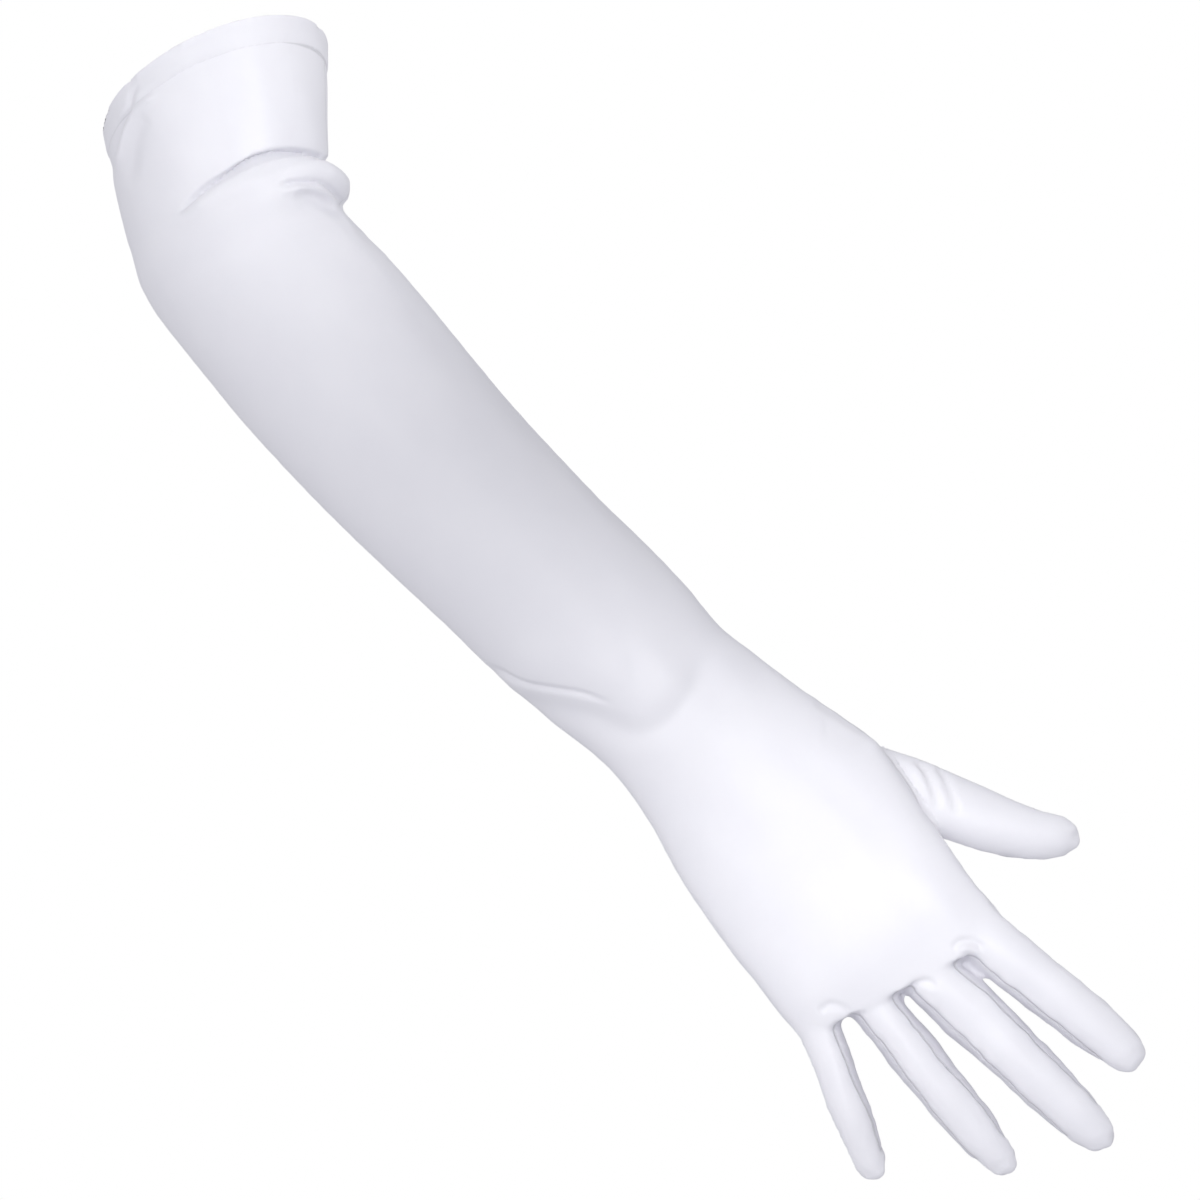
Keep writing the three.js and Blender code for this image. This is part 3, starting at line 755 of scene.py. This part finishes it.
def halved(piece, name, at, normal):
    """Cuts a skin by a plane. The side that the normal points to is given back as a piece."""
    far = copy_of(piece, name)
    for half, outer in ((piece, True), (far, False)):
        only(half)
        bpy.ops.object.mode_set(mode="EDIT")
        bpy.ops.mesh.select_all(action="SELECT")
        bpy.ops.mesh.bisect(plane_co=at, plane_no=normal, clear_outer=outer, clear_inner=not outer)
        bpy.ops.object.mode_set(mode="OBJECT")
    return far


for piece in [form, thumb, thumb_back, *strips]:
    without_cut_faces(piece)

step = sleeve_at[1] - sleeve_at[0]
drift = (rows[1, 1] - rows[0, 1]) * SLEEVE_WIDTH
hem_place = sleeve_at[0] + HEM_LENGTH * step / np.hypot(step, drift)
planes = []
for place in (sleeve_at[0], hem_place):
    middles, across, front, *rest = sleeve_frames(np.array([place]))
    planes.append((middles[0], np.cross(across[0], front[0])))
if np.dot(planes[0][1], ALONG) > 0:
    planes = [(at, -normal) for at, normal in planes]
cuff = halved(form, "cuff_hem_satin", *planes[1])
above = halved(cuff, "above the rim", *planes[0])
drop(above)
back = halved(form, "back_panel_satin", (0, 0, 0), (0, -1, 0))
form.name = "palm_panel_satin"
palm = form

# Seams, bow and cloth
# Along each seam the satin dips a little and puckers. The whole glove bows towards the camera, and the
# cloth gets its thickness inwards. Each piece is laid out flat for its grain before that.
SEAM_SINK, SEAM_REACH = 0.4 * MM, 1.3 * MM
SEAM_SHARES = (0, 0.25, 0.5, 0.75)
PUCKER_HEIGHT, PUCKER_REACH, PUCKER_WAVES = 0.12 * MM, 4 * MM, (5 * MM, 9 * MM)
FINGER_SEAMS_FROM, FINGER_SEAMS_BLEND, SIDE_SEAM_SHARE = 255 * MM, 20 * MM, 0.3
NEAREST, NEAREST_SOFT = 3, 0.1 * MM
CLOTH, HEM_CLOTH = 1.2 * MM, 2.2 * MM
HEM_PROUD, HEM_RISE = 0.55 * MM, 2 * MM
HEM_SEAM_SOFT, HEM_SEAM_FADE = 0.55, 6 * MM
HEM_ROUND = 0.9 * MM
RIM_REACH = 0.05 * MM
RIM_EDGE = 0.85 * HEM_CLOTH
SMOOTH_ANGLE = np.radians(62)
FAR_FROM_SEAM = 20 * MM
bow_rows = np.array([(PARTS[part][0] + at * PARTS[part][1], out * BOW_DEPTH) for part, at, out in BOW])


def tree_of(points):
    tree = kdtree.KDTree(len(points))
    for index, point in enumerate(points):
        tree.insert(point, index)
    tree.balance()
    return tree


def border_of(piece):
    """The vertex pairs of a piece's open edges."""
    mesh = piece.data
    used = np.empty(len(mesh.loops), np.int32)
    mesh.loops.foreach_get("edge_index", used)
    edges = np.empty(2 * len(mesh.edges), np.int32)
    mesh.edges.foreach_get("vertices", edges)
    return edges.reshape(-1, 2)[np.bincount(used, minlength=len(mesh.edges)) == 1]


def at_rim(points):
    at, normal = planes[0]
    return np.abs((points - at) @ normal) < RIM_REACH


pieces = [cuff, back, palm, thumb_back, thumb, *strips]
seam_points = []
for piece in pieces:
    points = points_of(piece)
    edges = border_of(piece)
    first, second = points[edges[:, 0]], points[edges[:, 1]]
    seam = ~(at_rim(first) & at_rim(second))
    seam_points += [first[seam] + share * (second - first)[seam] for share in SEAM_SHARES]
seam_tree = tree_of(np.concatenate(seam_points))
skin_points = points_of(skin_copy)
skin_normals = normals_of(skin_copy)
skin_tree = tree_of(skin_points)

for piece in pieces:
    points = points_of(piece)
    nearest = [skin_tree.find_n(point, NEAREST) for point in points]
    weights = np.array([[1 / (found[2] + NEAREST_SOFT) for found in three] for three in nearest])
    which = np.array([[found[1] for found in three] for three in nearest])
    normals = (skin_normals[which] * weights[..., None]).sum(1)
    normals /= np.linalg.norm(normals, axis=1)[:, None]
    away = np.array([min(seam_tree.find(point)[2], FAR_FROM_SEAM) for point in points])
    sink = -SEAM_SINK * np.exp(-((away / SEAM_REACH) ** 2))
    place = points @ ALONG + sleeve_at[0]
    on_fingers = np.clip((place - FINGER_SEAMS_FROM) / FINGER_SEAMS_BLEND, SIDE_SEAM_SHARE, 1)
    sink *= on_fingers
    pucker = np.exp(-((away / PUCKER_REACH) ** 2)) * waves(points, *PUCKER_WAVES, seed=5)
    sink += PUCKER_HEIGHT * on_fingers * pucker
    if piece == cuff:
        sink += HEM_PROUD * np.clip(away / HEM_RISE, 0, 1)
    points += normals * sink[:, None]
    points[:, 1] -= smooth(bow_rows[:, 0], bow_rows[:, 1], place)
    move_points(piece, points)
    at_hem = np.clip(1 - (place - hem_place) / HEM_SEAM_FADE, 0, 1)
    seam = piece.data.attributes.new("seam", "FLOAT", "POINT")
    seam.data.foreach_set("value", away / MM + HEM_SEAM_SOFT * at_hem)
drop(skin_copy)


def lay_flat(piece):
    """Gives a piece a UV map that is the piece laid out flat, in metres, with its grain upright."""
    only(piece)
    bpy.ops.object.mode_set(mode="EDIT")
    bpy.ops.mesh.select_all(action="SELECT")
    bpy.ops.uv.unwrap(method="ANGLE_BASED", margin=0)
    bpy.ops.object.mode_set(mode="OBJECT")
    mesh = piece.data
    loops = np.empty(len(mesh.loops), np.int32)
    mesh.loops.foreach_get("vertex_index", loops)
    flat = np.empty(2 * len(mesh.loops), np.float32)
    mesh.uv_layers.active.data.foreach_get("uv", flat)
    flat = flat.reshape(-1, 2).astype(float)
    mesh.calc_loop_triangles()
    corners = np.empty(3 * len(mesh.loop_triangles), np.int32)
    mesh.loop_triangles.foreach_get("loops", corners)
    corners = corners.reshape(-1, 3)
    points = points_of(piece)[loops]
    a, b = (points[corners[:, k]] - points[corners[:, 0]] for k in (1, 2))
    area = np.linalg.norm(np.cross(a, b), axis=1).sum() / 2
    c, d = (flat[corners[:, k]] - flat[corners[:, 0]] for k in (1, 2))
    flat_area = np.abs(c[:, 0] * d[:, 1] - c[:, 1] * d[:, 0]) / 2
    flat *= (area / flat_area.sum()) ** 0.5
    flat -= flat.mean(0)
    grain = np.linalg.lstsq(flat, points @ ALONG - (points @ ALONG).mean(), rcond=None)[0]
    grain /= -np.linalg.norm(grain)
    flat = np.array([flat @ [grain[1], -grain[0]], flat @ grain]).T
    mesh.uv_layers.active.data.foreach_set("uv", flat.astype(np.float32).ravel())


def round_rim(piece):
    """Rounds both edges of the rim, where the hem is folded over."""
    points = points_of(piece)
    points[:, 1] += smooth(bow_rows[:, 0], bow_rows[:, 1], points @ ALONG + sleeve_at[0])
    edges = np.empty(2 * len(piece.data.edges), np.int32)
    piece.data.edges.foreach_get("vertices", edges)
    first, second = points[edges[::2]], points[edges[1::2]]
    along_rim = np.linalg.norm(first - second, axis=1) < RIM_EDGE
    only(piece)
    bpy.ops.object.mode_set(mode="EDIT")
    bpy.ops.mesh.select_mode(type="EDGE")
    bpy.ops.mesh.select_all(action="DESELECT")
    bpy.ops.object.mode_set(mode="OBJECT")
    piece.data.edges.foreach_set("select", at_rim(first) & at_rim(second) & along_rim)
    bpy.ops.object.mode_set(mode="EDIT")
    bpy.ops.mesh.bevel(offset=HEM_ROUND, segments=4, affect="EDGES")
    bpy.ops.object.mode_set(mode="OBJECT")


for piece in pieces:
    lay_flat(piece)
    thick = HEM_CLOTH if piece == cuff else CLOTH
    apply_modifier(piece, "SOLIDIFY", thickness=thick, offset=-1, use_even_offset=False)
    if piece == cuff:
        round_rim(piece)
    only(piece)
    bpy.ops.object.shade_smooth_by_angle(angle=SMOOTH_ANGLE)

# The satin
# White stretch satin with a cool, lavender-grey cast. Its floats run down the glove. The strips between
# the fingers get a darker copy of it: painted shade, for the shadow that falls between the fingers.
FLOAT_LENGTH, FLOAT_WIDTH = 1.7, 0.34
FLOAT_HEIGHT, STITCH_DEPTH = 0.02 * MM, 0.35 * MM
SHADES = {
    # material, darker and lighter shade
    "satin": ((0.845, 0.842, 0.885, 1), (0.87, 0.866, 0.905, 1)),
    # a darker copy of the satin: painted shade for the strips between the fingers
    "satin_turned": ((0.7, 0.695, 0.75, 1), (0.74, 0.735, 0.785, 1)),
}


def satin_of(name, darker, lighter):
    """A satin of two close shades, woven in floats that run down the piece."""
    material = bpy.data.materials.new(name)
    material.use_nodes = True
    satin = Finish(material.node_tree)
    place = satin.node("ShaderNodeTexCoord", {}, {}, "Object")
    mottle = satin.node("ShaderNodeTexNoise", {}, {"Vector": place, "Scale": 38.0, "Detail": 3.0})
    seam_away = satin.node("ShaderNodeAttribute", {"attribute_name": "seam"}, {}, "Fac")
    white = satin.node("ShaderNodeValToRGB", {"stops": [(0.3, darker), (0.7, lighter)]}, {"Fac": mottle})
    # Within about a millimetre of a seam the base colour is darker, down to 0.86 of it at the seam.
    near_seam = satin.node(
        "ShaderNodeMapRange",
        {"interpolation_type": "SMOOTHSTEP"},
        {"Value": seam_away, 1: 0.15, 2: 0.9, 3: 0.86, 4: 1.0},
    )
    shaded = satin.node(
        "ShaderNodeMix",
        {"data_type": "RGBA", "blend_type": "MULTIPLY"},
        {0: 1.0, 6: white, 7: near_seam},
        2,
    )
    laid_flat = satin.node("ShaderNodeUVMap", {"uv_map": "UVMap"}, {})
    in_millimetres = satin.node(
        "ShaderNodeMapping",
        {},
        {"Vector": laid_flat, "Rotation": (0, 0, np.pi / 2), "Scale": (1 / MM, 1 / MM, 1)},
    )
    floats = satin.node(
        "ShaderNodeTexBrick",
        {"offset": 0.4, "squash_frequency": 5},
        {
            "Vector": in_millimetres,
            "Color1": (1, 1, 1, 1),
            "Color2": (0.6, 0.6, 0.6, 1),
            "Mortar": (0, 0, 0, 1),
            "Scale": 1.0,
            "Mortar Size": 0.05,
            "Mortar Smooth": 1.0,
            "Brick Width": FLOAT_LENGTH,
            "Row Height": FLOAT_WIDTH,
        },
        "Fac",
    )
    slub = satin.node("ShaderNodeTexNoise", {}, {"Vector": place, "Scale": 900.0, "Detail": 2.0})
    stitch_line = satin.node(
        "ShaderNodeMapRange",
        {"interpolation_type": "SMOOTHSTEP"},
        {"Value": seam_away, 1: 0.0, 2: 0.8, 3: 0.0, 4: 1.0},
    )
    grain_bump = satin.node(
        "ShaderNodeBump", {}, {"Strength": 0.18, "Distance": FLOAT_HEIGHT, "Height": slub - floats}
    )
    bump = satin.node(
        "ShaderNodeBump",
        {},
        {"Strength": 0.7, "Distance": STITCH_DEPTH, "Height": stitch_line, "Normal": grain_bump},
    )
    polish = satin.node("ShaderNodeMapRange", {}, {"Value": mottle, 1: 0.3, 2: 0.7, 3: 0.38, 4: 0.45})
    surface = satin.node(
        "ShaderNodeBsdfPrincipled", {}, {"Base Color": shaded, "Roughness": polish, "Normal": bump}
    )
    satin.node("ShaderNodeOutputMaterial", {}, {"Surface": surface})
    return material


satin_along, satin_shaded_between_fingers = (satin_of(name, *shades) for name, shades in SHADES.items())

# What each piece was cut to, before wearing stretched it: width, length and area in metres.
CUTS = {
    "cuff_hem": (0.25, 0.01, 0.0021),
    "back_panel": (0.16, 0.47, 0.041),
    "palm_panel": (0.165, 0.46, 0.04),
    "thumb_back": (0.04, 0.07, 0.0018),
    "thumb_palm": (0.046, 0.071, 0.0022),
    "fourchette_index_middle": (0.01, 0.14, 0.0009),
    "fourchette_middle_ring": (0.01, 0.16, 0.001),
    "fourchette_ring_little": (0.01, 0.13, 0.00085),
}
for piece in pieces:
    node = piece.name.removesuffix("_satin")
    width, length, area = CUTS[node]
    piece.data.materials.clear()
    # The strips between the fingers get the darker satin, whose colour holds painted shade.
    piece.data.materials.append(satin_shaded_between_fingers if piece in strips else satin_along)
    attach(piece, "root")
    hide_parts(node)
